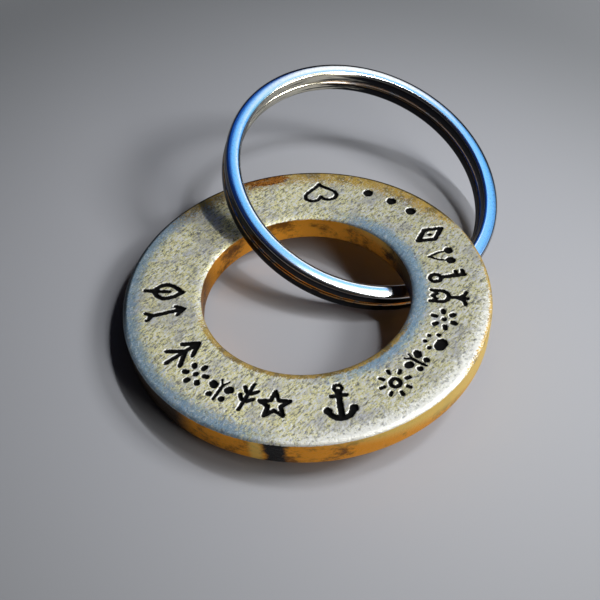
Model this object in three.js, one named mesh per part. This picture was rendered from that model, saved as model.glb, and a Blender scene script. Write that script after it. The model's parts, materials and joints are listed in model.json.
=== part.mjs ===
// A keyring: a stamped flat brass washer with a two-turn steel split ring linked through its bore.
// It lies on a table as it was put down: the ring passes over the washer on one side and under it on
// the other, so the washer is tipped up and stands on its own edge and on the ring.
// Millimetres and degrees, +Z up, the origin on the table below the middle of the pair.

import * as THREE from 'three';

// The washer, the standard size for a 20 mm bolt, its bore punched a little wide
const washerDiameter = 37;
const boreDiameter = 21.2;
const washerThickness = 3;
// The blanking die leaves the upper edges drawn in: widely and softly round the bore, less at the rim
const boreRollWidth = 0.9;
const boreRollDepth = 0.35;
const rimRollWidth = 0.5;
const rimRollDepth = 0.4;
// The lower edges are only broken by tumbling
const lowerEdgeBreak = 0.3;

// The split ring, one flattened wire that goes round nearly twice
const ringDiameter = 31.8;
const wireWidth = 1.75;
const turnHeight = 1.46;
const turnGap = 0.08;
const wireCorner = 0.5;
// Where the wire steps from the lower turn up to the upper one, and the gap left at each cut end
const crossoverLength = 5.4;
const cutEndGap = 0.3;
const crossoverBearing = -19;

// How the ring hangs in the washer: its wire passes the bore's axis at this share of the bore's radius
const threadShare = 0.269;
const ringBearing = 73.3;
const ringHeading = -35.1;
const firstLean = 22;
// The play left where the ring lies on the washer, and where the washer lies on the ring
const seatClearance = 0.25;

// The direction in which the washer runs down to the table
const washerHeading = -174.1;

// Facets
const washerFacets = 96;
const roundDivisions = 2;
const wireSteps = 200;
const seatSamples = 240;
const edgeSamples = 6;
const settlePasses = 60;
const halvings = 40;

const radians = THREE.MathUtils.degToRad;
const fullTurn = 2 * Math.PI;
const quarterTurn = Math.PI / 2;

const washerRadius = washerDiameter / 2;
const boreRadius = boreDiameter / 2;
const pitchRadius = (ringDiameter - wireWidth) / 2;
const turnPitch = turnHeight + turnGap;
const ringHeight = turnHeight + turnPitch;

const brass = new THREE.MeshStandardMaterial({ color: 0xc9b07a, roughness: 0.42, metalness: 1 });
const steel = new THREE.MeshStandardMaterial({ color: 0xb9bcc2, roughness: 0.16, metalness: 1 });

// The washer's section, counter-clockwise from its lower outer edge: four rounds joined by straight walls
function washerSection() {
  const top = washerThickness / 2;
  const section = new THREE.Path();
  const round = (radius, height, width, depth, start) => {
    section.absellipse(radius, height, width, depth, start, start + quarterTurn, false);
  };
  round(washerRadius - lowerEdgeBreak, lowerEdgeBreak - top, lowerEdgeBreak, lowerEdgeBreak, -quarterTurn);
  round(washerRadius - rimRollWidth, top - rimRollDepth, rimRollWidth, rimRollDepth, 0);
  round(boreRadius + boreRollWidth, top - boreRollDepth, boreRollWidth, boreRollDepth, quarterTurn);
  round(boreRadius + lowerEdgeBreak, lowerEdgeBreak - top, lowerEdgeBreak, lowerEdgeBreak, Math.PI);
  section.closePath();
  return section;
}

// The section is turned round the bore's axis, and the lathe's upright axis is laid along Z
function stampedWasher() {
  const geometry = new THREE.LatheGeometry(washerSection().getPoints(roundDivisions), washerFacets);
  geometry.rotateX(quarterTurn);
  const washer = new THREE.Mesh(geometry, brass);
  washer.name = 'stamped_washer';
  return washer;
}

// The wire's route: nearly one turn below, a smooth step up, and nearly one turn above.
// The wire is coiled on edge, so its section stays upright all the way, also where it climbs.
class SplitWire extends THREE.Curve {
  constructor() {
    super();
    const halfStep = crossoverLength / pitchRadius / 2;
    const endGap = cutEndGap / pitchRadius;
    this.stepStart = radians(crossoverBearing) + fullTurn - halfStep;
    this.stepAngle = 2 * halfStep;
    this.start = radians(crossoverBearing) + halfStep + endGap;
    this.sweep = 2 * (fullTurn - halfStep - endGap);
  }

  angleAt(share) {
    return this.start + this.sweep * share;
  }

  getPoint(share, target = new THREE.Vector3()) {
    const angle = this.angleAt(share);
    const climb = THREE.MathUtils.smoothstep(angle, this.stepStart, this.stepStart + this.stepAngle);
    const height = turnPitch * (climb - 1 / 2);
    return target.set(pitchRadius * Math.cos(angle), pitchRadius * Math.sin(angle), height);
  }

  getPointAt(share, target) {
    return this.getPoint(share, target);
  }

  getSpacedPoints(segments) {
    return this.getPoints(segments);
  }

  computeFrenetFrames(segments) {
    const frames = { tangents: [], normals: [], binormals: [] };
    for (let index = 0; index <= segments; index++) {
      const angle = this.angleAt(index / segments);
      frames.tangents.push(new THREE.Vector3(-Math.sin(angle), Math.cos(angle), 0));
      frames.normals.push(new THREE.Vector3(0, 0, -1));
      frames.binormals.push(new THREE.Vector3(-Math.cos(angle), -Math.sin(angle), 0));
    }
    return frames;
  }
}

// The wire's section: round wire rolled flat, so all four corners keep a round
function wireSection() {
  const acrossX = turnHeight / 2 - wireCorner;
  const acrossY = wireWidth / 2 - wireCorner;
  const section = new THREE.Shape();
  section.absarc(acrossX, acrossY, wireCorner, 0, quarterTurn, false);
  section.absarc(-acrossX, acrossY, wireCorner, quarterTurn, Math.PI, false);
  section.absarc(-acrossX, -acrossY, wireCorner, Math.PI, Math.PI + quarterTurn, false);
  section.absarc(acrossX, -acrossY, wireCorner, Math.PI + quarterTurn, fullTurn, false);
  return section;
}

function splitRing() {
  const geometry = new THREE.ExtrudeGeometry(wireSection(), {
    steps: wireSteps,
    curveSegments: roundDivisions,
    bevelEnabled: false,
    extrudePath: new SplitWire(),
  });
  const ring = new THREE.Mesh(geometry, steel);
  ring.name = 'split_ring';
  return ring;
}

// The sides of the washer's section, as lines in a plane of radius and height
function sectionSides() {
  const corners = washerSection().getPoints(roundDivisions).map(({ x, y }) => new THREE.Vector3(x, y, 0));
  return corners.slice(1).map((corner, index) => new THREE.Line3(corners[index], corner));
}

// Distance from a point in the washer's own frame to its body, less than nothing inside it.
// The section is convex and runs counter-clockwise, so whatever lies right of any side is outside.
function distanceToWasher(point, sides) {
  const place = new THREE.Vector3(Math.hypot(point.x, point.y), point.z, 0);
  const onSide = new THREE.Vector3();
  const along = new THREE.Vector3();
  let nearest = Infinity;
  let inside = true;
  for (const side of sides) {
    side.closestPointToPoint(place, true, onSide);
    nearest = Math.min(nearest, place.distanceTo(onSide));
    side.delta(along);
    inside = inside && along.x * (place.y - side.start.y) > along.y * (place.x - side.start.x);
  }
  return inside ? -nearest : nearest;
}

// Points round the core of the ring's two turns; the ring's surface lies one corner round outside them
function ringCorePoints() {
  const halfWidth = wireWidth / 2 - wireCorner;
  const halfHeight = ringHeight / 2 - wireCorner;
  const points = [];
  for (let index = 0; index <= edgeSamples; index++) {
    const share = 2 * index / edgeSamples - 1;
    points.push([share * halfWidth, halfHeight], [share * halfWidth, -halfHeight]);
    points.push([halfWidth, share * halfHeight], [-halfWidth, share * halfHeight]);
  }
  return points;
}

// The least gap between ring and washer where the ring lies over the washer, and where it lies under
function seatGaps(ring) {
  const core = ringCorePoints();
  const sides = sectionSides();
  const gaps = { over: Infinity, under: Infinity };
  const point = new THREE.Vector3();
  ring.updateMatrix();
  for (let index = 0; index < seatSamples; index++) {
    const angle = fullTurn * index / seatSamples;
    const wireCentre = point.set(pitchRadius * Math.cos(angle), pitchRadius * Math.sin(angle), 0);
    const side = wireCentre.applyMatrix4(ring.matrix).z > 0 ? 'over' : 'under';
    for (const [outward, upward] of core) {
      const radius = pitchRadius + outward;
      point.set(radius * Math.cos(angle), radius * Math.sin(angle), upward).applyMatrix4(ring.matrix);
      gaps[side] = Math.min(gaps[side], distanceToWasher(point, sides) - wireCorner);
    }
  }
  return gaps;
}

// The ring is threaded through the bore, then lifted and leaned until both seats keep their clearance
function threadRing(ring) {
  const reach = pitchRadius + threadShare * boreRadius;
  const bearing = radians(ringBearing);
  ring.position.set(reach * Math.cos(bearing), reach * Math.sin(bearing), 0);
  ring.rotation.set(0, radians(firstLean), radians(ringHeading), 'ZYX');
  for (let pass = 0; pass < settlePasses; pass++) {
    const gaps = seatGaps(ring);
    ring.position.z += (gaps.under - gaps.over) / 2;
    ring.rotation.y += (seatClearance - (gaps.over + gaps.under) / 2) / pitchRadius;
  }
}

function lowestPoint(piece) {
  return new THREE.Box3().setFromObject(piece, true).min.z;
}

// The pair is tipped until the washer's edge and the ring stand on the same table
function standOnTable(pair, washer, ring) {
  const heading = radians(washerHeading);
  const axis = new THREE.Vector3(-Math.sin(heading), Math.cos(heading), 0);
  let flat = 0;
  let steep = quarterTurn / 2;
  for (let count = 0; count < halvings; count++) {
    const tilt = (flat + steep) / 2;
    pair.quaternion.setFromAxisAngle(axis, tilt);
    pair.updateMatrixWorld(true);
    if (lowestPoint(ring) < lowestPoint(washer)) {
      flat = tilt;
    } else {
      steep = tilt;
    }
  }
  const box = new THREE.Box3().setFromObject(pair, true);
  const middle = box.getCenter(new THREE.Vector3());
  pair.position.set(-middle.x, -middle.y, -box.min.z);
}

const washer = stampedWasher();
const ring = splitRing();
threadRing(ring);

const linkedPair = new THREE.Group();
linkedPair.add(washer, ring);
standOnTable(linkedPair, washer, ring);

const keyring = new THREE.Group();
keyring.add(linkedPair);

export default keyring;
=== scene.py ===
"""The looks of a keyring: a hand-punched brass washer linked on a polished steel split ring."""

import json
import logging
import math
from dataclasses import dataclass, field, replace
from enum import Enum
from functools import partial, partialmethod, reduce
from typing import Any

import bpy
import numpy as np
from mathutils import Matrix, Quaternion, Vector


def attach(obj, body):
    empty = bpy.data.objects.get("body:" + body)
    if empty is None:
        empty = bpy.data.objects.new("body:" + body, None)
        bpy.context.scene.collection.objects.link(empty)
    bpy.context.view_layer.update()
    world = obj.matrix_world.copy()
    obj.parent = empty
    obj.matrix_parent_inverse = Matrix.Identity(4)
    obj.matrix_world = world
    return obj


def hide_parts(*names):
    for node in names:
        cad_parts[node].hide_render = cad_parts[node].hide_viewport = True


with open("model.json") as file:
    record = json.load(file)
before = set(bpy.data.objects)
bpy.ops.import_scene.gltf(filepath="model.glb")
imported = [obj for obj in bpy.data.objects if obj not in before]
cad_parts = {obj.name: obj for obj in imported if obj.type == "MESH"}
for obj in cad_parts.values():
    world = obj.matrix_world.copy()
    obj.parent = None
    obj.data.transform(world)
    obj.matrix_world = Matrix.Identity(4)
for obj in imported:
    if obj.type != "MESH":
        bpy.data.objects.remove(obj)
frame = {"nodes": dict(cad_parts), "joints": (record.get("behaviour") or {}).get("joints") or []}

Colour = tuple[float, float, float, float]
Triple = tuple[float, float, float]
Pair = tuple[float, float]
Socket = bpy.types.NodeSocket

MM = 0.001
# How far out a point lies, as a share of the outermost one, to count as the ring's rim in each pass
RIM_SHARES = (0.97, 0.999)
log = logging.getLogger("keyring")


@dataclass(frozen=True)
class Seat:
    """Where a round piece lies: its centre, and its own three axes as the columns of a matrix."""

    centre: np.ndarray
    axes: np.ndarray

    def place(self, own: np.ndarray) -> np.ndarray:
        """Own points in the shared frame: the centre plus each own coordinate times its axis."""
        return self.centre + own @ self.axes.T


def node_points(node: str) -> np.ndarray:
    """A CAD node's vertices in metres, one row each."""
    return np.array([tuple(vertex.co) for vertex in frame["nodes"][node].data.vertices])


def flat_normal(points: np.ndarray) -> np.ndarray:
    """The upward normal of a flat round solid: the direction in which its points spread least."""
    normal = np.linalg.svd(points - points.mean(axis=0), full_matrices=False)[2][2]
    return normal * np.sign(normal[2])


def washer_seat() -> Seat:
    """Finds the washer: its points are even all round, so their mean lies on its axis.

    Returns:
        The washer's middle, with own X as near to the shared X as its tilt lets it be.
    """
    points = node_points("stamped_washer")
    normal = flat_normal(points)
    mean = points.mean(axis=0)
    heights = (points - mean) @ normal
    centre = mean + normal * (heights.min() + heights.max()) / 2
    across = np.array((1.0, 0.0, 0.0)) - normal[0] * normal
    across /= np.linalg.norm(across)
    return Seat(centre, np.stack((across, np.cross(normal, across), normal), axis=1))


def ring_seat() -> Seat:
    """Finds the split ring: own Y is the hinge's axis, and the centre is that of its outermost circle.

    The circle comes from the line fit x*a + y*b + c = -(x*x + y*y), whose centre is (-a/2, -b/2),
    taken twice over the points that lie farthest out.

    Returns:
        The ring's middle and axes; its low side lies along own +X.
    """
    points = node_points("split_ring")
    along = np.array(frame["joints"][0]["axis"], float)
    along /= np.linalg.norm(along)
    normal = flat_normal(points)
    normal -= (normal @ along) * along
    normal /= np.linalg.norm(normal)
    axes = np.stack((np.cross(along, normal), along, normal), axis=1)
    mean = points.mean(axis=0)
    own = (points - mean) @ axes
    middle = np.zeros(2)
    for share in RIM_SHARES:
        reach = np.hypot(*(own[:, :2] - middle).T)
        rim = own[reach > share * reach.max(), :2]
        system = np.column_stack((rim, np.ones(len(rim))))
        middle = np.linalg.lstsq(system, -(rim ** 2).sum(axis=1), rcond=None)[0][:2] / -2
    height = (own[:, 2].min() + own[:, 2].max()) / 2
    return Seat(mean + axes @ np.array((*middle, height)), axes)


def ease(share: np.ndarray) -> np.ndarray:
    """Smooth step: three times the square less twice the cube of a share held between 0 and 1."""
    held = np.clip(share, 0.0, 1.0)
    return held * held * (3 - 2 * held)


def ripple(angle: np.ndarray, waves: tuple[int, ...], seed: int) -> np.ndarray:
    """Between -1 and 1: the mean of sines of whole wave counts round a circle, with seeded phases."""
    phases = np.random.default_rng(seed).uniform(0, 2 * np.pi, len(waves))
    return sum(np.sin(count * angle + phase) for count, phase in zip(waves, phases)) / len(waves)


def bent_sine(place: np.ndarray, other: np.ndarray, rates: Triple) -> np.ndarray:
    """The sine of the place times a rate plus a bend times the sine of the other place times its rate."""
    return np.sin(rates[0] * place + rates[1] * np.sin(rates[2] * other))


def circle(degrees: np.ndarray) -> np.ndarray:
    """Points on the unit circle: the cosine and the sine of each angle."""
    return np.column_stack((np.cos(np.radians(degrees)), np.sin(np.radians(degrees))))


def grid_faces(rows: int, columns: int, rows_close: bool) -> np.ndarray:
    """Quads between neighbouring points of a grid whose columns close on themselves.

    Args:
        rows: number of rows.
        columns: number of columns.
        rows_close: whether the last row also joins the first.

    Returns:
        One row of four point numbers for each quad.
    """
    row = np.arange(rows if rows_close else rows - 1)[:, None] * columns
    column = np.arange(columns)[None, :]
    after, beside = (row + columns) % (rows * columns), (column + 1) % columns
    return np.stack((row + column, after + column, after + beside, row + beside), axis=-1).reshape(-1, 4)


def make_piece(
    name: str, points: np.ndarray, faces: list, values: dict[str, np.ndarray], material: bpy.types.Material
) -> bpy.types.Object:
    """Makes a smooth mesh object at the origin.

    Args:
        name: the piece's name.
        points: its points in the shared frame.
        faces: its faces as lists of point numbers.
        values: one number per point for each named attribute.
        material: its material.

    Returns:
        The linked object.
    """
    mesh = bpy.data.meshes.new(name)
    mesh.materials.append(material)
    mesh.from_pydata(points.reshape(-1, 3).tolist(), [], faces)
    mesh.polygons.foreach_set("use_smooth", np.ones(len(mesh.polygons), bool))
    for key, numbers in values.items():
        attribute = mesh.attributes.new(key, "FLOAT", "POINT")
        attribute.data.foreach_set("value", numbers.astype(np.float32).ravel())
    mesh.validate()
    piece = bpy.data.objects.new(name, mesh)
    bpy.context.scene.collection.objects.link(piece)
    return piece


@dataclass(frozen=True)
class Slope:
    """A smooth step of a value: start at the first place, stop at the second, which may be the lower.

    The fray is how far grain moves the value.
    """

    first: float
    second: float
    stop: float = 1.0
    start: float = 0.0
    fray: float = 0.0


@dataclass(frozen=True)
class Cloud:
    """A cloudy noise: its density, its finer layers and their strength, and its grain.

    The grain and the turn are as own_place has them.
    """

    scale: float
    detail: float
    rough: float
    grain: Triple = (1.0, 1.0, 1.0)
    turn: float = 0.0


class Wiring:
    """Adds and joins the nodes of one node tree. A value is a constant or another node's output."""

    def __init__(self, tree: bpy.types.NodeTree) -> None:
        """Starts from an empty tree."""
        self.tree = tree
        self.tree.nodes.clear()

    def fill(self, node: bpy.types.Node, inputs: dict[Any, Any]) -> None:
        """Links a node's inputs to their values, or sets the values on them.

        Args:
            node: the node.
            inputs: socket name or number to its value.
        """
        for key, value in inputs.items():
            if isinstance(value, bpy.types.NodeSocket):
                self.tree.links.new(value, node.inputs[key])
            else:
                node.inputs[key].default_value = value

    def node(self, kind: str, inputs: dict[Any, Any], **settings: Any) -> bpy.types.Node:
        """Adds a node.

        Args:
            kind: the node's type.
            inputs: as fill takes them.
            **settings: properties of the node, set before its inputs.

        Returns:
            The node.
        """
        node = self.tree.nodes.new(kind)
        for name, value in settings.items():
            setattr(node, name, value)
        self.fill(node, inputs)
        return node

    def add(self, kind: str, inputs: dict[Any, Any], output: Any = 0, **settings: Any) -> Socket:
        """Adds a node and gives back one of its outputs, by number or name."""
        return self.node(kind, inputs, **settings).outputs[output]

    def maths(self, operation: str, *values: Any) -> Socket:
        """One step of arithmetic on numbers."""
        return self.add("ShaderNodeMath", dict(enumerate(values)), operation=operation)

    def fold(self, operation: str, *values: Any) -> Socket:
        """All the values joined by one kind of arithmetic."""
        return reduce(partial(self.maths, operation), values)

    product = partialmethod(fold, "MULTIPLY")
    total = partialmethod(fold, "ADD")
    most = partialmethod(fold, "MAXIMUM")

    def sway(self, grain: Socket, amount: float) -> Socket:
        """Grain centred on nothing: the grain less one half, times an amount."""
        return self.maths("MULTIPLY", self.maths("SUBTRACT", grain, 0.5), amount)

    def away(self, value: Socket, middle: float) -> Socket:
        """How far a value lies from a middle."""
        return self.maths("ABSOLUTE", self.maths("SUBTRACT", value, middle))

    def measure(self, operation: str, *values: Any) -> Socket:
        """One step of arithmetic that makes a number of vectors."""
        return self.add("ShaderNodeVectorMath", dict(enumerate(values)), "Value", operation=operation)

    def slope(self, value: Any, slope: Slope) -> Socket:
        """A smooth step of a value."""
        inputs = dict(enumerate((value, slope.first, slope.second, slope.start, slope.stop)))
        return self.add("ShaderNodeMapRange", inputs, interpolation_type="SMOOTHSTEP")

    def frayed(self, value: Any, slope: Slope, grain: Socket) -> Socket:
        """A smooth step of a value that grain moves to and fro."""
        return self.slope(self.total(value, self.sway(grain, slope.fray)), slope)

    def mix(self, share: Any, first: Any, second: Any) -> Socket:
        """A mix of two numbers by a share."""
        return self.add("ShaderNodeMix", {0: share, 2: first, 3: second})

    def blend(self, share: Any, first: Any, second: Any, how: str = "MIX") -> Socket:
        """A mix of two colours by a share."""
        colours = {0: share, 6: first, 7: second}
        return self.add("ShaderNodeMix", colours, 2, data_type="RGBA", blend_type=how)

    def attribute(self, name: str) -> Socket:
        """A number kept on the mesh's points."""
        return self.add("ShaderNodeAttribute", {}, "Fac", attribute_name=name)


class Finish(Wiring):
    """One procedural material round a Principled shader."""

    def __init__(self, name: str, metallic: float, seat: Seat) -> None:
        """Makes the material.

        Args:
            name: the material's name.
            metallic: how far it is bare metal.
            seat: the piece's seat.
        """
        self.seat = seat
        self.material = bpy.data.materials.new(name)
        self.material.use_nodes = True
        super().__init__(self.material.node_tree)
        self.shader = self.node("ShaderNodeBsdfPrincipled", {"Metallic": metallic})
        self.node("ShaderNodeOutputMaterial", {"Surface": self.shader.outputs[0]})
        self.place = self.add("ShaderNodeTexCoord", {}, "Object")

    def own_place(self, grain: Triple = (1.0, 1.0, 1.0), turn: float = 0.0) -> Socket:
        """Object coordinates in the piece's own frame, so that a pattern can stretch along its axes.

        Args:
            grain: the size of one unit along own X, Y and Z, in millimetres.
            turn: turns the pattern about own Z, in degrees.

        Returns:
            The coordinates.
        """
        spin = Matrix.Rotation(math.radians(turn), 3, "Z")
        inputs = {
            "Vector": self.place,
            "Location": tuple(self.seat.centre),
            "Rotation": tuple((Matrix(self.seat.axes.tolist()) @ spin).to_euler()),
            "Scale": tuple(length * MM for length in grain),
        }
        return self.add("ShaderNodeMapping", inputs, vector_type="TEXTURE")

    def noise(self, cloud: Cloud) -> Socket:
        """Cloudy noise between 0 and 1 in the piece's own frame."""
        inputs = {"Scale": cloud.scale, "Detail": cloud.detail, "Roughness": cloud.rough}
        return self.add("ShaderNodeTexNoise", inputs | {0: self.own_place(cloud.grain, cloud.turn)})

    def finish(self, colour: Any, roughness: Any, height: Socket, depth: float) -> bpy.types.Material:
        """Joins the worked-out layers to the shader.

        Args:
            colour: base colour.
            roughness: roughness.
            height: relief between 0 and 1.
            depth: what a relief of 1 stands for, in metres.

        Returns:
            The material.
        """
        bump = self.add("ShaderNodeBump", {"Height": height, "Distance": depth})
        self.fill(self.shader, {"Base Color": colour, "Roughness": roughness, "Normal": bump})
        return self.material


@dataclass(frozen=True, eq=False)
class Stroke:
    """A line of a punch's face, in shares of the mark's height, and half its width in millimetres."""

    half_width: float
    points: np.ndarray


def cut(half_width: float, *points: Pair) -> Stroke:
    """A stroke through points."""
    return Stroke(half_width, np.array(points, float))


def twins(half_width: float, *points: Pair) -> list[Stroke]:
    """A stroke and its mirror image beside the mark's upright line."""
    return [cut(half_width, *points), cut(half_width, *((-aside, up) for aside, up in points))]


def spokes(half_width: float, count: int, inner: float, outer: float) -> list[Stroke]:
    """Even strokes round the mark's middle, from an inner to an outer radius, the first one upright."""
    ways = circle(90 + 360 / count * np.arange(count))
    return [cut(half_width, way * inner, way * outer) for way in ways]


def bow(middle: Pair, radii: Pair, start: float = 0, stop: float = 360) -> np.ndarray:
    """Points on an elliptical arc: the middle plus the radii times the unit circle between two angles."""
    return np.array(middle) + np.array(radii) * circle(np.linspace(start, stop, 25))


def blade() -> np.ndarray:
    """One side of a pointed leaf: its half width goes with the sine of its height's power of 0.8."""
    share = np.linspace(0, 1, 20)
    return np.column_stack((0.23 * np.sin(np.pi * share ** 0.8), 0.72 * share - 0.26))


def star() -> np.ndarray:
    """Five points: the outline turns between two radii every 36 degrees."""
    turns = np.arange(11)[:, None]
    return np.where(turns % 2, 0.21, 0.5) * circle(90 + 36 * turns[:, 0])


def heart() -> np.ndarray:
    """An outline with x = sine cubed, widened, and y = 13, 5, 2 and 1 sixteenths of four cosines.

    Returns:
        Its points.
    """
    angle = np.linspace(0, 2 * np.pi, 49)
    rise = 13 * np.cos(angle) - 5 * np.cos(2 * angle) - 2 * np.cos(3 * angle) - np.cos(4 * angle)
    return np.column_stack((0.56 * np.sin(angle) ** 3, rise / 32 + 0.08))


class Mark(Enum):
    """The maker's punches: each mark's strokes, upright, within half a height of its middle."""

    LEAF = (cut(0.2, (0, -0.48), (0, 0.12)), *twins(0.22, *blade()))
    WHEAT = (
        cut(0.17, (0, -0.48), (0, 0.42)), *twins(0.18, (0.08, -0.16), (0.2, -0.03)),
        *twins(0.18, (0.08, 0.12), (0.2, 0.25)))
    PINE = (
        cut(0.2, (0, 0.4), (0, -0.46)), *twins(0.21, (0, 0.46), (0.22, 0.14)),
        *twins(0.21, (0, 0.08), (0.28, -0.26)))
    DAISY = (cut(0.24, (0, 0)), *spokes(0.23, 6, 0.3, 0.38))
    BUTTERFLY = (
        cut(0.15, (0, -0.3), (0, 0.22)), *twins(0.33, (0.25, 0.16), (0.3, 0.2)),
        *twins(0.27, (0.22, -0.2)), *twins(0.1, (0, 0.22), (0.12, 0.44)))
    TULIP = (
        cut(0.2, (-0.19, 0.46), *bow((0, 0.2), (0.19, 0.2), 180, 360), (0.19, 0.46)),
        cut(0.16, (-0.19, 0.46), (-0.09, 0.3), (0, 0.44), (0.09, 0.3), (0.19, 0.46)),
        cut(0.19, (0, 0), (0, -0.48)), *twins(0.18, *bow((0.24, -0.16), (0.24, 0.28), 180, 265)))
    STAR = (cut(0.19, *star()),)
    ANCHOR = (
        cut(0.15, *bow((0, 0.38), (0.09, 0.09))), cut(0.19, (-0.17, 0.17), (0.17, 0.17)),
        cut(0.25, (0, 0.29), (0, -0.42)), cut(0.25, *bow((0, -0.1), (0.3, 0.33), 200, 340)),
        *twins(0.34, (0.29, -0.2)))
    SUN = (cut(0.18, *bow((0, 0), (0.15, 0.15))), *spokes(0.17, 8, 0.37, 0.48))
    PAW = (cut(0.45, (-0.08, -0.2), (0.08, -0.2)), *twins(0.21, (0.33, 0.06)), *twins(0.21, (0.14, 0.33)))
    ARROW = (
        cut(0.22, (0, -0.38), (0, 0.44)), *twins(0.2, (0, 0.46), (0.14, 0.27)),
        *twins(0.19, (0, -0.32), (0.12, -0.47)))
    KEY = (
        cut(0.2, *bow((0, 0.32), (0.13, 0.15))), cut(0.22, (0, 0.17), (0, -0.46)),
        cut(0.19, (0, -0.44), (0.15, -0.44)), cut(0.19, (0, -0.26), (0.15, -0.26)))
    CHERRY = (
        cut(0.4, (-0.25, -0.24)), cut(0.13, (-0.24, -0.2), (-0.12, 0.16), (0.1, 0.46)),
        cut(0.4, (0.24, -0.3)), cut(0.13, (0.24, -0.24), (0.22, 0.1), (0.1, 0.46)))
    DIAMOND = (cut(0.22, (0, 0.46), (0.25, 0), (0, -0.46), (-0.25, 0), (0, 0.46)), cut(0.2, (0, 0)))
    HEART = (cut(0.19, *heart()),)
    DOT = (cut(0.45, (0, 0)),)


@dataclass(frozen=True)
class Blow:
    """One blow of a punch: what it leaves, where round the washer, how far out, how tall and how askew."""

    mark: Mark
    bearing: float
    reach: float
    height: float
    askew: float = 0.0


BLOWS = (
    Blow(Mark.LEAF, -177.0, 14.4, 4.1, 5),
    Blow(Mark.ARROW, -165.2, 14.2, 4.1, -4),
    Blow(Mark.PINE, -142.3, 14.1, 4.1, -5),
    Blow(Mark.DAISY, -130.6, 14.6, 3.0, 4),
    Blow(Mark.BUTTERFLY, -118.6, 14.8, 3.0, -5),
    Blow(Mark.WHEAT, -108.2, 14.1, 3.4, 4),
    Blow(Mark.STAR, -97.2, 14.4, 2.9, -8),
    Blow(Mark.ANCHOR, -73.5, 14.3, 4.1, 6),
    Blow(Mark.SUN, -51.6, 14.5, 3.1, 10),
    Blow(Mark.BUTTERFLY, -38.6, 14.2, 2.8, -8),
    Blow(Mark.PAW, -26.8, 14.3, 2.8, 4),
    Blow(Mark.DAISY, -14.6, 14.1, 3.0, 12),
    Blow(Mark.TULIP, -2.4, 14.2, 3.8, 3),
    Blow(Mark.KEY, 8.9, 14.3, 3.8, -3),
    Blow(Mark.CHERRY, 20.2, 14.6, 2.9, 5),
    Blow(Mark.DIAMOND, 33.6, 15.0, 3.5, -6),
    Blow(Mark.DOT, 48.6, 15.9, 1.1),
    Blow(Mark.DOT, 58.1, 15.9, 1.0),
    Blow(Mark.DOT, 68.5, 15.9, 1.0),
    Blow(Mark.HEART, 88.1, 14.9, 3.1, -12),
)


def stroke_distance(points: np.ndarray, path: np.ndarray) -> np.ndarray:
    """Least distance from points to a bent line.

    For each piece of the line a point's foot is its projection held between the ends; the least
    distance to any foot counts. A line of one point is that point.

    Args:
        points: plane points, one row each.
        path: the line's corners.

    Returns:
        One distance for each point.
    """
    starts, ends = (path, path) if len(path) == 1 else (path[:-1], path[1:])
    run = ends - starts
    length = np.maximum((run ** 2).sum(axis=1), np.finfo(float).eps)
    gap = points[:, None, :] - starts
    share = np.clip((gap * run).sum(axis=2) / length, 0, 1)
    return np.hypot(*np.moveaxis(gap - share[..., None] * run, 2, 0)).min(axis=1)


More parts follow.
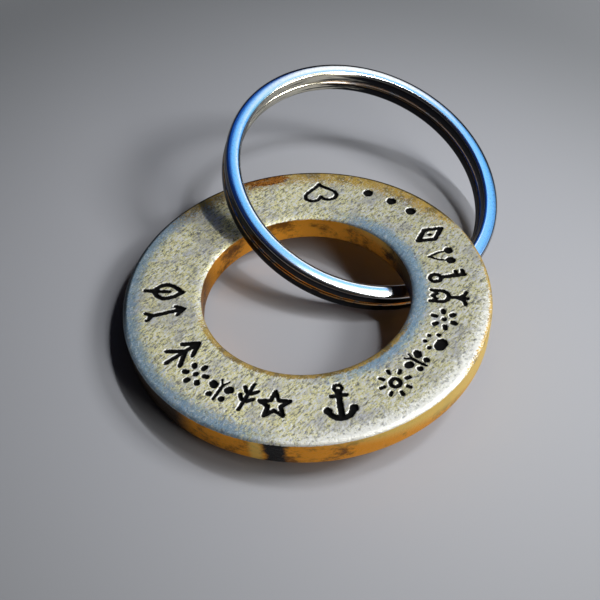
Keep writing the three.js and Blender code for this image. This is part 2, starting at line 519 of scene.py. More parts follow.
@dataclass
class Washer:
    """The brass fob: a flat ring with drawn-in upper edges and a circle of punched ornaments."""

    outer: float = 18.5 * MM
    bore: float = 10.6 * MM
    thick: float = 3.0 * MM
    rim_roll: Pair = (0.5 * MM, 0.4 * MM)
    bore_roll: Pair = (0.9 * MM, 0.35 * MM)
    lower_round: float = 0.3 * MM
    # How finely it is divided: round its axis, across its upper face, and along its section's other runs
    around: int = 960
    across: int = 60
    other_steps: tuple[int, ...] = (6, 5, 3, 6, 3, 4, 7)
    # The share of half the thickness from which on a point begins to count as the upper face
    upper_share: float = 0.7
    # The strokes' depth and sloping wall, how much bolder they are than drawn, and a mark's reach
    punch_depth: float = 0.26 * MM
    punch_wall: float = 0.17 * MM
    boldness: float = 1.3
    mark_reach: float = 0.8
    untouched: float = 1.0 * MM
    burr: float = 0.025 * MM
    burr_width: float = 0.1 * MM
    chip_edge: float = 0.05 * MM
    chip_shift: Pair = (-0.10 * MM, 0.06 * MM)
    # How far the strokes' edges wander, by two sines with a rate, a bend and the bend's own rate each
    edge_wander: float = 0.035 * MM
    wander_across: Triple = (5.1, 2.3, 3.3)
    wander_up: Triple = (6.7, 1.9, 4.1)
    rim_wear: float = 0.02 * MM
    wear_waves: tuple[int, ...] = (3, 7, 11, 19, 31)
    wear_seed: int = 4
    seat: Seat = field(default_factory=washer_seat)
    blows: tuple[Blow, ...] = BLOWS

    def section(self) -> tuple[np.ndarray, np.ndarray]:
        """Walks once round the washer's section, the upper face first and the bore's roll last.

        Straight runs are even steps between two corners. Each round is a quarter ellipse: its middle
        plus its half axes times the unit circle.

        Returns:
            Radius and height of every point of the closed section.
        """
        top, low = self.thick / 2, -self.thick / 2
        flat_start, flat_stop = self.bore + self.bore_roll[0], self.outer - self.rim_roll[0]
        rim_top, bore_top = top - self.rim_roll[1], top - self.bore_roll[1]
        edge = self.lower_round

        def straight(start: Pair, stop: Pair, count: int) -> np.ndarray:
            """Even steps from a corner up to, but without, the next."""
            return np.linspace(start, stop, count, endpoint=False)

        def quarter(middle: Pair, axes: Pair, first: float, count: int) -> np.ndarray:
            """Even turns through a quarter ellipse, clockwise from a first angle in degrees."""
            return np.array(middle) + np.array(axes) * circle(first - 90 * np.arange(count) / count)

        runs = (
            (straight, (flat_start, top), (flat_stop, top)),
            (quarter, (flat_stop, rim_top), self.rim_roll, 90),
            (straight, (self.outer, rim_top), (self.outer, low + edge)),
            (quarter, (self.outer - edge, low + edge), (edge, edge), 0),
            (straight, (self.outer - edge, low), (self.bore + edge, low)),
            (quarter, (self.bore + edge, low + edge), (edge, edge), -90),
            (straight, (self.bore, low + edge), (self.bore, bore_top)),
            (quarter, (flat_start, bore_top), self.bore_roll, 180),
        )
        counts = (self.across, *self.other_steps)
        return np.vstack([run(*values, count) for (run, *values), count in zip(runs, counts)]).T

    def punch_field(self, flat: np.ndarray) -> np.ndarray:
        """How far each point of the upper face lies from the edge of the nearest punched stroke.

        A blow's upright is the way inward, turned askew. A stroke's field is the distance to its line
        less its half width, and the least field counts.

        Args:
            flat: points of the face in own X and Y, in metres.

        Returns:
            Distances in metres, less than nothing inside a stroke.
        """
        found = np.full(len(flat), self.untouched)
        for blow in self.blows:
            upright = -circle(blow.bearing - blow.askew)[0]
            aside = upright[::-1] * (1, -1)
            height = blow.height * MM
            offset = flat - circle(blow.bearing) * blow.reach * MM
            near = np.flatnonzero(np.hypot(*offset.T) < self.mark_reach * height)
            own = offset[near] @ np.column_stack((aside, upright)) / height
            for stroke in blow.mark.value:
                gap = stroke_distance(own, stroke.points) * height - stroke.half_width * self.boldness * MM
                found[near] = np.minimum(found[near], gap)
        return found

    def build(self) -> bpy.types.Object:
        """Makes the washer: its section is turned round its axis, and the punches sink the upper face.

        A point's own place is (radius times cosine, radius times sine, height) of its bearing, and a
        ripple wears the rim in. A stroke sinks the face by the depth times a smooth step of the distance
        inside its edge. Outside, a burr falls off as a bell, higher where the shifted stroke leaves a chip.

        Returns:
            The washer, which stands for the CAD node.
        """
        radius, height = self.section()
        bearing = np.linspace(-np.pi, np.pi, self.around, endpoint=False)
        wear = self.rim_wear * (1 + ripple(bearing, self.wear_waves, self.wear_seed)) / 2
        outward = ease((radius - self.outer + self.rim_roll[0]) / self.rim_roll[0])
        reach = radius[None, :] - wear[:, None] * outward[None, :]
        level = np.repeat(height[None, :], self.around, axis=0)
        flat = np.stack((reach * np.cos(bearing)[:, None], reach * np.sin(bearing)[:, None]), axis=-1)
        face = slice(0, self.across + 1)
        places = flat[:, face].reshape(-1, 2)
        gap = np.full(level.shape, self.untouched)
        chip_and_highlight = gap.copy()
        gap[:, face] = self.punch_field(places).reshape(self.around, -1)
        # The shifted strokes raise the burr and also mark where a painted highlight goes
        chip_and_highlight[:, face] = self.punch_field(places - self.chip_shift).reshape(self.around, -1)
        x, y = flat[..., 0] / MM, flat[..., 1] / MM
        waves = bent_sine(x, y, self.wander_across) * bent_sine(y, x, self.wander_up)
        gap, chip_and_highlight = gap + self.edge_wander * waves, chip_and_highlight - self.edge_wander * waves
        level -= self.punch_depth * ease(-gap / self.punch_wall)
        lip = np.exp(-(gap / self.burr_width) ** 2) * (gap > 0) * (1 + ease(-chip_and_highlight / self.chip_edge))
        level += self.burr * lip * (np.arange(len(radius)) < self.across)
        own = np.concatenate((flat, level[..., None]), axis=-1)
        upper = ease((height / (self.thick / 2) - self.upper_share) / (1 - self.upper_share))
        values = {
            "punch": -gap / MM,
            "chip_and_highlight": -chip_and_highlight / MM,
            "upper": np.tile(upper, self.around),
            "across": np.tile((radius - self.bore) / (self.outer - self.bore), self.around),
        }
        faces = grid_faces(self.around, len(radius), True).tolist()
        brass = BrassFinish(self.seat).make()
        piece = make_piece("brass_washer", self.seat.place(own), faces, values, brass)
        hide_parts("stamped_washer")
        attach(piece, "washer")
        return piece


class Along(Enum):
    """The places by which a layer is bounded, as BrassWork names them."""

    ACROSS, SIDE, DEPTH, SLANT = "across", "side", "depth", "slant"


Bound = tuple[Along, float, float]


@dataclass(frozen=True)
class Layer:
    """A wear or stain over some regions. A region's bounds are places with values outside and inside."""

    regions: tuple[tuple[Bound, ...], ...]
    sets_in: Slope


class BrassWork(Finish):
    """The brass in the making, with the washer's places and the grain that its layers read.

    Side, depth and height are own X, Y and Z in millimetres. Across is 0 at the bore and 1 at the rim,
    and slant grows towards the front right.
    """

    def __init__(self, look: "BrassFinish") -> None:
        """Works out places and grain.

        Args:
            look: the brass's values.
        """
        super().__init__("brushed_brass", look.metallic, look.seat)
        places = self.node("ShaderNodeSeparateXYZ", {0: self.own_place()}).outputs
        self.side, self.depth, self.height = places
        self.slant = self.maths("SUBTRACT", self.side, self.depth)
        self.across = self.attribute("across")
        self.mottle, self.grit = self.noise(look.mottle), self.noise(look.grit)

    def region(self, bounds: tuple[Bound, ...]) -> Socket:
        """How far a point lies inside all of a region's bounds."""
        places = ((getattr(self, along.value), Slope(*ends)) for along, *ends in bounds)
        return self.product(*(self.slope(*place) for place in places))

    def layer(self, layer: Layer, grain: Socket) -> Socket:
        """How strongly a layer shows, by the region that holds the point most."""
        inside = self.most(*(self.region(bounds) for bounds in layer.regions))
        return self.frayed(inside, layer.sets_in, grain)


@dataclass(frozen=True)
class BrassFinish:
    """Brass: a sanded, pale and mottled face, edges with painted glare, a painted blue-grey reflection and
    a painted shade line, and walls of raw amber brass.
    """

    seat: Seat
    metallic: float = 0.7
    cream: Colour = (1.0, 0.94, 0.47, 1)
    chalk: Colour = (1.0, 1.0, 0.94, 1)
    pewter: Colour = (0.23, 0.235, 0.23, 1)
    reflected_slate: Colour = (0.20, 0.36, 0.52, 1)
    dove: Colour = (0.52, 0.53, 0.60, 1)
    right_side_shade: Colour = (0.66, 0.67, 0.72, 1)
    gold: Colour = (0.58, 0.37, 0.05, 1)
    amber: Colour = (1.0, 0.40, 0.012, 1)
    honey: Colour = (1.0, 0.42, 0.03, 1)
    straw: Colour = (1.0, 0.72, 0.17, 1)
    rust: Colour = (0.46, 0.17, 0.015, 1)
    olive: Colour = (0.20, 0.13, 0.02, 1)
    umber: Colour = (0.09, 0.022, 0.002, 1)
    # Black for the punches' fill, and for painted shade and a painted dark reflection
    black_fill_and_shade: Colour = (0.004, 0.004, 0.004, 1)
    # Grain: mottle, grit, sanding marks with each set's turn and share, and flecks
    mottle: Cloud = Cloud(2.6, 5.0, 0.76)
    grit: Cloud = Cloud(7.0, 3.0, 0.6)
    streak: Cloud = Cloud(1.0, 3.0, 0.7, (0.7, 0.17, 1.0))
    streak_sets: tuple[Pair, ...] = ((58, 0.5), (38, 0.3), (112, 0.2))
    fleck: Cloud = Cloud(1.0, 2.0, 0.6, (0.50, 0.17, 1.0), 50)
    # The face by its grain, flecks and clouds, and painted shade that darkens and cools it towards the
    # right
    streak_share: float = 0.55
    to_cream: Slope = Slope(0.415, 0.495)
    to_chalk: Slope = Slope(0.505, 0.56)
    dark_fleck: Slope = Slope(0.45, 0.34, 0.85)
    pale_fleck: Slope = Slope(0.55, 0.63)
    dove_cloud: Cloud = Cloud(0.35, 5.0, 0.7)
    dove_shown: Slope = Slope(0.46, 0.62, 0.5)
    right_side_shading: Slope = Slope(-8.0, 16.0)
    # Painted reflection of blue surroundings: blue-grey at the rim's left and the bore's right, thinned by
    # the mottle
    blue_reflection: Layer = Layer((
        ((Along.ACROSS, 0.62, 0.95), (Along.SIDE, 4.0, -8.0)),
        ((Along.ACROSS, 0.36, 0.08), (Along.SIDE, -2.0, 8.0)),
    ), Slope(0.3, 1.0, 0.9, fray=3.2))
    blue_reflection_thins: Slope = Slope(0.50, 0.62, 0.55, 1.0)
    # Painted highlight: pale glare towards the rim at the front right
    front_right_glare: Layer = Layer((
        ((Along.ACROSS, 0.62, 1.0), (Along.SLANT, 8.0, 24.0)),
    ), Slope(0.30, 1.0, fray=2.2))
    # Golden, with olive patches, at the rim's far right and back and the bore's front
    gilt: Layer = Layer((
        ((Along.ACROSS, 0.91, 0.99), (Along.SIDE, 13.5, 17.0)),
        ((Along.ACROSS, 0.50, 0.95), (Along.DEPTH, 6.0, 13.0)),
        ((Along.ACROSS, 0.12, 0.06), (Along.DEPTH, -1.0, -7.0)),
    ), Slope(0.35, 0.95, 0.9, fray=2.6))
    olive_cloud: Cloud = Cloud(0.55, 4.0, 0.7)
    olive_patches: Slope = Slope(0.50, 0.60, 0.8)
    # Browned by heat in a ragged strip at the rim's back left
    scorched: Layer = Layer((
        ((Along.ACROSS, 0.62, 0.95), (Along.DEPTH, 8.5, 12.0), (Along.SIDE, -2.0, -5.0),
         (Along.SIDE, -11.0, -8.5)),
    ), Slope(0.45, 0.8, 0.95, fray=1.0))
    lick: Cloud = Cloud(1.0, 3.0, 0.6, (2.4, 0.5, 1.0), 12)
    lick_fray: float = 2.5
    scorch_border: Slope = Slope(0.0, 0.15)
    charred: Slope = Slope(1.0, 1.1)
    # Painted shade: black in a thin line on the rim's outermost edge, along the back and the left
    shaded_rim_line: Slope = Slope(0.93, 0.955, 0.85, fray=0.05)
    shaded_rim_slant: float = 0.5
    shaded_rim_behind: Slope = Slope(0.0, 6.0)
    # Where the walls give way to the face, a painted highlight on one side of each punched stroke, and the
    # strokes' black fill
    to_face: Slope = Slope(0.25, 0.45, fray=0.5)
    chip_highlight: Slope = Slope(0.0, 0.05, fray=0.6)
    inked: Slope = Slope(0.0, 0.045, fray=0.16)
    # The walls: brown patches, a painted dark reflection band and a painted highlight at the front, and
    # painted light on the right
    patch: Cloud = Cloud(1.0, 6.0, 0.74, (3.6, 3.6, 2.4))
    patched: Slope = Slope(0.46, 0.64)
    patch_share: float = 0.8
    honey_to_amber: Slope = Slope(0.3, 0.7)
    front: Slope = Slope(-14.0, -16.0)
    band_side: float = -1.5
    band_cloud: Cloud = Cloud(3.0, 4.0, 0.7, (3.6, 3.6, 2.4))
    reflected_dark_band: Slope = Slope(1.4, 0.6, fray=1.8)
    glint_side: float = -3.2
    glint: Slope = Slope(0.9, 0.2, 0.7)
    pale_rise: float = 5.0
    pale: Slope = Slope(6.0, 15.0, 0.9)
    # Painted shade: the left of the walls and the right of the bore darkened
    left_wall_shade: Slope = Slope(-9.3, -11.8, 0.96, fray=1.5)
    left_shade_depth: Slope = Slope(6.0, 0.0)
    bore_right_shade: Slope = Slope(6.5, 9.0, 0.9, fray=1.5)
    on_bore: Slope = Slope(0.3, 0.1)
    # Roughness of the face by its mottle, of the walls and of the black fill, and the grain's relief
    face_rough: Slope = Slope(0.35, 0.65, 0.74, 0.56)
    wall_rough: float = 0.42
    off_wall: Slope = Slope(0.6, 0.98)
    ink_rough: float = 0.9
    relief_share: float = 0.4
    relief_depth: float = 0.15 * MM

    def make(self) -> bpy.types.Material:
        """Builds the material.

        Returns:
            The finished brass.
        """
        work = BrassWork(self)
        sets = ((replace(self.streak, turn=turn), share) for turn, share in self.streak_sets)
        streak = work.total(*(work.product(work.noise(cloud), share) for cloud, share in sets))
        upper = work.attribute("upper")
        on_face = work.frayed(upper, self.to_face, work.mottle)
        colour = work.blend(on_face, self.wall(work), self.edges(work, self.face(work, streak)))
        # Painted highlight: chalk on the shifted side of each punched stroke
        chip_highlight = work.frayed(work.attribute("chip_and_highlight"), self.chip_highlight, work.mottle)
        colour = work.blend(chip_highlight, colour, self.chalk)
        inked = work.frayed(work.attribute("punch"), self.inked, work.grit)
        colour = work.blend(inked, colour, self.black_fill_and_shade)
        rough = work.slope(work.mottle, self.face_rough)
        rough = work.mix(work.slope(upper, self.off_wall), self.wall_rough, rough)
        rough = work.mix(inked, rough, self.ink_rough)
        relief = work.mix(self.relief_share, work.mottle, streak)
        return work.finish(colour, rough, relief, self.relief_depth)

    def face(self, work: BrassWork, streak: Socket) -> Socket:
        """The upper face: cream between pewter and chalk by the grain, with clouds, painted shade towards
        the right, and a painted blue-grey reflection.

        Args:
            work: the material.
            streak: sanding marks.

        Returns:
            The face's colour.
        """
        grain = work.mix(self.streak_share, work.mottle, streak)
        fleck, clouds = work.noise(self.fleck), work.noise(self.dove_cloud)
        face = work.blend(work.slope(grain, self.to_cream), self.pewter, self.cream)
        for value, slope, colour in (
            (grain, self.to_chalk, self.chalk),
            (fleck, self.dark_fleck, self.pewter),
            (fleck, self.pale_fleck, self.chalk),
            (clouds, self.dove_shown, self.dove),
        ):
            face = work.blend(work.slope(value, slope), face, colour)
        # Painted shade: the face darkened and cooled towards the right
        face = work.blend(work.slope(work.side, self.right_side_shading), face, self.right_side_shade, "MULTIPLY")
        # Painted reflection: blue-grey on the face at the rim's left and the bore's right
        thinned = work.slope(work.mottle, self.blue_reflection_thins)
        return work.blend(work.product(work.layer(self.blue_reflection, work.mottle), thinned), face, self.reflected_slate)

    def edges(self, work: BrassWork, face: Socket) -> Socket:
        """The face's edges: a painted pale glare, golden with olive patches, scorched by heat, and a thin
        painted shade line.

        Args:
            work: the material.
            face: the face's colour.

        Returns:
            The colour with its edges.
        """
        # Painted highlight: chalk glare towards the rim at the front right
        face = work.blend(work.layer(self.front_right_glare, work.mottle), face, self.chalk)
        gilding = work.blend(work.slope(work.noise(self.olive_cloud), self.olive_patches), self.gold, self.olive)
        face = work.blend(work.layer(self.gilt, work.grit), face, gilding)
        charring = work.slope(work.total(work.mottle, work.grit), self.charred)
        licked = work.total(work.grit, work.sway(work.noise(self.lick), self.lick_fray))
        strip = work.slope(work.region(self.scorched.regions[0]), self.scorch_border)
        scorched = work.product(work.layer(self.scorched, licked), strip)
        face = work.blend(scorched, face, work.blend(charring, self.rust, self.umber))
        # Painted shade: a thin black line on the rim's outer edge at the back and the left
        shaded_rim_line = work.frayed(work.across, self.shaded_rim_line, work.mottle)
        behind = work.maths("SUBTRACT", work.depth, work.product(work.side, self.shaded_rim_slant))
        return work.blend(work.product(shaded_rim_line, work.slope(behind, self.shaded_rim_behind)), face, self.black_fill_and_shade)

    def wall(self, work: BrassWork) -> Socket:
        """Walls sheared by the die: amber with brown patches, a painted dark reflection band and highlight
        across the front, painted light on the right and painted shade on the sides.

        Args:
            work: the material.

        Returns:
            The walls' colour.
        """
        patches = work.slope(work.noise(self.patch), self.patched)
        bare = work.blend(work.slope(work.across, self.honey_to_amber), self.honey, self.amber)
        wall = work.blend(work.product(patches, self.patch_share), bare, self.umber)
        front = work.slope(work.depth, self.front)
        # Painted highlight: a straw glint beside the dark band on the front wall
        glint = work.product(work.slope(work.away(work.side, self.glint_side), self.glint), front)
        # Painted light: straw on the upper right of the walls, the side that faces the lamps
        pale = work.slope(work.total(work.side, work.product(work.height, self.pale_rise)), self.pale)
        wall = work.blend(work.most(pale, glint), wall, self.straw)
        # Painted reflection: a dark band across the front wall
        reflected_dark_band = work.frayed(work.away(work.side, self.band_side), self.reflected_dark_band, work.noise(self.band_cloud))
        # Painted shade: the walls' left and the bore's right turned black
        left = work.frayed(work.side, self.left_wall_shade, patches)
        left = work.product(left, work.slope(work.depth, self.left_shade_depth))
        right = work.frayed(work.side, self.bore_right_shade, patches)
        right = work.product(right, work.slope(work.across, self.on_bore))
        return work.blend(work.most(work.product(reflected_dark_band, front), left, right), wall, self.black_fill_and_shade)


@dataclass
class SplitRing:
    """The steel ring: one flattened wire wound nearly twice, with a step up and two cut ends."""

    pitch_radius: float = 15.025 * MM
    wire_width: float = 1.71 * MM
    turn_height: float = 1.45 * MM
    turn_gap: float = 0.09 * MM
    step_length: float = 5.4 * MM
    step_bearing: float = -19.0
    end_gap: float = 0.3 * MM
    # Each cut end is rounded over this length, to this share less of the section, at so many stations
    end_round: float = 0.12 * MM
    end_shrink: float = 0.16
    end_stations: int = 5
    # The section's roundness: a power of 2 is an ellipse, and a higher one is nearer to an oblong
    crown_power: float = 4.0
    along: int = 1100
    round_points: int = 36
    # What the attribute crown says in the middle of a cut end
    tip_crown: float = 0.5
    seat: Seat = field(default_factory=ring_seat)

    def route(self) -> tuple[np.ndarray, np.ndarray, np.ndarray]:
        """The wire's middle line: a circle whose height climbs by one pitch in a smooth step.

        The angle runs evenly from just past the step, round to it, and round again to just before it.
        Near each cut end the section shrinks as a quarter circle does.

        Returns:
            Angle, height and section scale of every station.
        """
        half_step = self.step_length / self.pitch_radius / 2
        spare = half_step + self.end_gap / self.pitch_radius
        rounded = self.end_round / self.pitch_radius
        step = math.radians(self.step_bearing)
        start, stop = step + spare, step + 4 * math.pi - spare
        rounding = np.sqrt(np.arange(self.end_stations) / self.end_stations) * rounded
        body = np.linspace(start + rounded, stop - rounded, self.along)
        angle = np.concatenate((start + rounding, body, (stop - rounding)[::-1]))
        climb = ease((angle - step - 2 * math.pi + half_step) / (2 * half_step))
        to_end = np.clip(np.minimum(angle - start, stop - angle) / rounded, 0, 1)
        drawn = 1 - (1 - np.sqrt(1 - (1 - to_end) ** 2)) * self.end_shrink
        return angle, (self.turn_height + self.turn_gap) * (climb - 0.5), drawn

    def build(self) -> bpy.types.Object:
        """Makes the ring: a crowned section is carried upright along the route.

        A coordinate of the section is its half size times the cosine or sine, signed, to the power of
        2 over the crown's power. The ends are closed with fans.

        Returns:
            The ring, which stands for the CAD node.
        """
        angle, height, scale = self.route()
        turn = np.linspace(0, 2 * np.pi, self.round_points, endpoint=False)
        ways = np.array((np.cos(turn), np.sin(turn)))
        out, up = np.sign(ways) * np.abs(ways) ** (2 / self.crown_power)
        reach = self.pitch_radius + scale[:, None] * self.wire_width / 2 * out
        level = height[:, None] + scale[:, None] * self.turn_height / 2 * up
        own = np.stack((reach * np.cos(angle)[:, None], reach * np.sin(angle)[:, None], level), axis=-1)
        points = np.vstack((own.reshape(-1, 3), own[[0, -1]].mean(axis=1)))
        count, stations = self.round_points, len(angle)
        here = np.arange(count)
        beside = (here + 1) % count
        last, tip = (stations - 1) * count, np.full(count, stations * count)
        fans = ((tip, here, beside), (tip + 1, last + beside, last + here))
        ends = np.vstack([np.column_stack(fan) for fan in fans])
        faces = grid_faces(stations, count, False).tolist() + ends.tolist()
        crown = np.abs(level) / (self.turn_height + self.turn_gap / 2)
        walls = np.abs(reach - self.pitch_radius) / (self.wire_width / 2)
        crown = np.pad(crown.ravel(), (0, 2), constant_values=self.tip_crown)
        values = {"crown": crown, "wall": np.pad(walls.ravel(), (0, 2))}
        steel = SteelFinish(self.seat).make()
        piece = make_piece("steel_split_ring", self.seat.place(points), faces, values, steel)
        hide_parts("split_ring")
        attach(piece, "ring")
        return piece


@dataclass(frozen=True)
class SteelFinish:
    """Polished nickel plate, with painted shade darkening the walls but for a painted pale reflection, and
    a painted golden reflection in the seam.

    Crown is 0 in the seam between the turns and 1 on the ring's flats; wall is 0 in the wire's middle
    and 1 on its sides.
    """

    seat: Seat
    bright: Colour = (0.70, 0.73, 0.77, 1)
    worn: Colour = (0.50, 0.53, 0.58, 1)
    wall_shade: Colour = (0.010, 0.010, 0.012, 1)
    seam_reflection: Colour = (0.90, 0.52, 0.17, 1)
    bone: Colour = (0.80, 0.76, 0.62, 1)
    speck: Cloud = Cloud(4.0, 3.0, 0.6)
    to_worn: Slope = Slope(0.5, 0.75)
    on_wall: Slope = Slope(0.8, 0.95)
    off_flat: Slope = Slope(0.97, 0.8)
    # Painted golden reflection in the seam, broken by clouds and weaker on the ring's inside
    in_seam: Slope = Slope(0.24, 0.08)
    seam_cloud: Cloud = Cloud(0.8, 3.0, 0.6)
    seam_broken: Slope = Slope(0.36, 0.5)
    inside: Slope = Slope(15.1, 14.7)
    inside_weaker: Slope = Slope(0.0, 1.0, 0.3, 1.0)
    # The inside's pale stretch, a painted beige reflection: the way it lies in, and its streaks
    pale_way: Triple = (-0.99, 0.14, 0.0)
    pale: Slope = Slope(11.5, 13.5, fray=12.0)
    pale_streak: Cloud = Cloud(1.0, 4.0, 0.65, (6.0, 6.0, 0.3))
    flat_rough: float = 0.14
    wall_rough: float = 0.3
    speck_rough: float = 0.12
    drawn: Cloud = Cloud(1.0, 2.0, 0.55, (2.5, 2.5, 0.06))
    drawn_depth: float = 0.006 * MM

    def make(self) -> bpy.types.Material:
        """Builds the material.

        Returns:
            The finished steel.
        """
        work = Finish("polished_steel", 1.0, self.seat)
        fine, speck = work.own_place(), work.noise(self.speck)
        wall, crown = work.attribute("wall"), work.attribute("crown")
        colour = work.blend(work.slope(speck, self.to_worn), self.bright, self.worn)
        # Painted shade: the wire's walls turned near black
        walled = work.product(work.slope(wall, self.on_wall), work.slope(crown, self.off_flat))
        colour = work.blend(walled, colour, self.wall_shade)
        inner = work.slope(work.measure("LENGTH", fine), self.inside)
        # Painted reflection: golden lines in the seam between the turns
        broken = work.slope(work.noise(self.seam_cloud), self.seam_broken)
        seam = work.product(work.slope(crown, self.in_seam), broken, work.slope(inner, self.inside_weaker))
        colour = work.blend(seam, colour, self.seam_reflection)
        # Painted reflection: a beige stretch on the inside of the ring at the far left
        facing = work.measure("DOT_PRODUCT", fine, self.pale_way)
        pale = work.frayed(facing, self.pale, work.noise(self.pale_streak))
        colour = work.blend(work.product(inner, pale), colour, self.bone)
        rough = work.mix(walled, self.flat_rough, self.wall_rough)
        rough = work.total(rough, work.sway(speck, self.speck_rough))
        return work.finish(colour, rough, work.noise(self.drawn), self.drawn_depth)


@dataclass(frozen=True)
class Glow:
    """A soft region of the surroundings that the metal mirrors: full within near, gone beyond far."""

    bearing: float
    rise: float
    colour: Colour
    near: float
    far: float


@dataclass(frozen=True)
class Lamp:
    """A soft box that faces the keyring: where it stands, how large it is, and its share of the light."""

    name: str
    bearing: float
    rise: float
    distance: float
    sides: Pair
    share: float
    colour: Triple


def way_to(bearing: float, rise: float) -> Vector:
    """The direction with a bearing from +X towards +Y and a height angle, both in degrees."""
    turn, lift = math.radians(bearing), math.radians(rise)
    return Vector((math.cos(lift) * math.cos(turn), math.cos(lift) * math.sin(turn), math.sin(lift)))


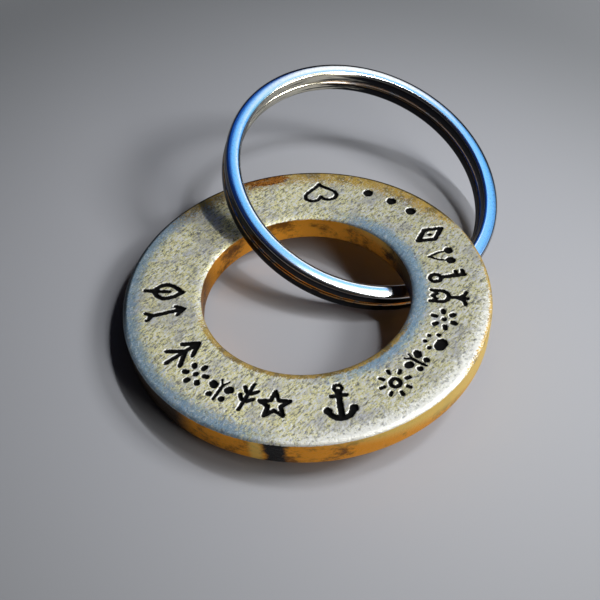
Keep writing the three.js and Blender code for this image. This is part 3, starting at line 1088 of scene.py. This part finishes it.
@dataclass
class Studio:
    """A plain pale table, dim surroundings with soft glows, soft boxes on the right, and the camera."""

    floor_half: float = 1.5
    floor_drop: float = 0.005 * MM
    floor_rough: float = 0.7
    floor_colour: Colour = (0.42, 0.44, 0.495, 1)
    floor_falloff_shade: Colour = (0.25, 0.265, 0.29, 1)
    painted_falloff: Slope = Slope(22 * MM, 70 * MM)
    unlit: Colour = (0.0, 0.0, 0.0, 1)
    floor_fade: Slope = Slope(62 * MM, 115 * MM)
    backdrop: Colour = (0.28, 0.285, 0.30, 1)
    backdrop_rises: Pair = (14.0, 5.0)
    surround: Colour = (0.010, 0.009, 0.008, 1)
    glows: tuple[Glow, ...] = (
        Glow(150, 62, (0.004, 0.02, 0.10, 1), 12, 45),
        Glow(92, 60, (0.012, 0.10, 0.45, 1), 8, 16),
        Glow(22, 42, (0.16, 0.5, 1.0, 1), 9, 18),
        Glow(50, 57, (0.22, 0.78, 1.6, 1), 9, 16),
        Glow(62, 51, (1.6, 1.6, 1.55, 1), 4.5, 8.5),
        Glow(33, 59, (1.6, 1.6, 1.5, 1), 2.5, 5.5),
    )
    lamps: tuple[Lamp, ...] = (
        Lamp("key_light", -6, 58.0, 0.17, (0.006, 0.07), 0.20, (1.0, 0.98, 0.94)),
        Lamp("upper_light", 17, 63.2, 0.20, (0.008, 0.03), 0.18, (1.0, 0.99, 0.97)),
        Lamp("side_light", 0, 38.5, 0.20, (0.05, 0.05), 0.31, (1.0, 0.98, 0.94)),
        Lamp("front_light", -36, 35, 0.22, (0.04, 0.14), 0.14, (1.0, 0.96, 0.88)),
    )
    lamp_aim: Triple = (-9.0 * MM, 2.5 * MM, 4.0 * MM)
    shadow_plane: Triple = (-0.753, -0.493, 0.435)
    camera_aim: Triple = (-1.776 * MM, -7.356 * MM, 3.717 * MM)
    camera_distance: float = 89.825 * MM
    camera_bearing: float = -89.963
    camera_rise: float = 47.257
    camera_roll: float = 5.990
    camera_lens: float = 53.021
    camera_sensor: float = 36.0
    camera_clip: Pair = (0.001, 10.0)

    def build(self) -> None:
        """Sets up the table, the surroundings, the lights, the camera and the view."""
        self.table()
        self.surroundings()
        for lamp in self.lamps:
            self.hang(lamp)
        self.camera()
        bpy.context.scene.view_settings.view_transform = "Standard"

    def table(self) -> None:
        """Makes the table: one square a hair below the keyring.

        Its colour darkens away from the keyring, a painted falloff of the light, and far out, where it
        takes no light, it shows the backdrop.
        """
        side, drop = self.floor_half, -self.floor_drop
        corners = [(-side, -side, drop), (side, -side, drop), (side, side, drop), (-side, side, drop)]
        work = Finish("pale_table", 0.0, Seat(np.zeros(3), np.eye(3)))
        reach = work.measure("LENGTH", work.place)
        far = work.slope(reach, self.floor_fade)
        # Painted shade: the floor's colour darkens away from the keyring
        painted = work.blend(work.slope(reach, self.painted_falloff), self.floor_colour, self.floor_falloff_shade)
        work.fill(work.shader, {
            "Base Color": work.blend(far, painted, self.unlit),
            "Roughness": self.floor_rough,
            "Emission Color": self.backdrop,
            "Emission Strength": work.product(far, self.seen(work)),
        })
        make_piece("table", np.array(corners), [[0, 1, 2, 3]], {}, work.material)

    def seen(self, work: Wiring) -> Socket:
        """One for rays that show the background: straight from the camera, mirrored or let through."""
        kinds = ("Is Camera Ray", "Is Glossy Ray", "Is Transmission Ray")
        return work.most(*(work.add("ShaderNodeLightPath", {}, kind) for kind in kinds))

    def surroundings(self) -> None:
        """Lights the world: a dim even grey, into which each glow is mixed by the angle from its middle.

        Only mirroring metal sees the glows. Low down, rays that show the background see the backdrop.
        """
        world = bpy.data.worlds.new("studio")
        bpy.context.scene.world = world
        world.use_nodes = True
        work = Wiring(world.node_tree)
        way = work.add("ShaderNodeTexCoord", {}, "Generated")
        mirrored = work.add("ShaderNodeLightPath", {}, "Is Glossy Ray")
        colour = self.surround
        for glow in self.glows:
            facing = work.measure("DOT_PRODUCT", way, tuple(way_to(glow.bearing, glow.rise)))
            ends = (math.cos(math.radians(angle)) for angle in (glow.far, glow.near))
            shown = work.product(work.slope(facing, Slope(*ends)), mirrored)
            colour = work.blend(shown, colour, glow.colour)
        height = work.add("ShaderNodeSeparateXYZ", {0: way}, "Z")
        low = work.slope(height, Slope(*(math.sin(math.radians(rise)) for rise in self.backdrop_rises)))
        colour = work.blend(work.product(low, self.seen(work)), colour, self.backdrop)
        light = work.add("ShaderNodeBackground", {"Color": colour})
        work.node("ShaderNodeOutputWorld", {"Surface": light})

    def hang(self, lamp: Lamp) -> None:
        """Adds a lamp whose short side lies across the ring's shadow edge, so that this edge stays crisp.

        Its power is its share of the floor's light times pi squared and its distance squared, over the
        sine of its rise. The shares add up to less than 1, at which a colour renders as it is written.

        Args:
            lamp: the soft box.
        """
        data = bpy.data.lights.new(lamp.name, "AREA")
        data.shape = "RECTANGLE"
        data.size, data.size_y = lamp.sides
        data.energy = lamp.share * (math.pi * lamp.distance) ** 2 / math.sin(math.radians(lamp.rise))
        data.color = lamp.colour
        holder = bpy.data.objects.new(lamp.name, data)
        away = way_to(lamp.bearing, lamp.rise)
        holder.location = Vector(self.lamp_aim) + away * lamp.distance
        along = away.cross(Vector(self.shadow_plane)).normalized()
        across = along.cross(away)
        holder.rotation_mode = "QUATERNION"
        holder.rotation_quaternion = Matrix((across, along, away)).transposed().to_quaternion()
        bpy.context.scene.collection.objects.link(holder)

    def camera(self) -> None:
        """Places the camera as a fit of the model's edges to the photograph gives it."""
        data = bpy.data.cameras.new("photo_camera")
        data.lens = self.camera_lens
        data.sensor_width = self.camera_sensor
        data.clip_start, data.clip_end = self.camera_clip
        camera = bpy.data.objects.new(data.name, data)
        back = way_to(self.camera_bearing, self.camera_rise)
        camera.location = Vector(self.camera_aim) + back * self.camera_distance
        camera.rotation_mode = "QUATERNION"
        roll = Quaternion((0.0, 0.0, 1.0), math.radians(self.camera_roll))
        camera.rotation_quaternion = (-back).to_track_quat("-Z", "Y") @ roll
        bpy.context.scene.collection.objects.link(camera)
        bpy.context.scene.camera = camera


def main() -> None:
    """Builds the studio, then each piece of the keyring."""
    logging.basicConfig(level=logging.INFO, format="%(name)s: %(message)s")
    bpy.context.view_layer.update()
    Studio().build()
    for maker in (Washer(), SplitRing()):
        piece = maker.build()
        log.info("%s has %d faces", piece.name, len(piece.data.polygons))


if __name__ == "__main__":
    main()
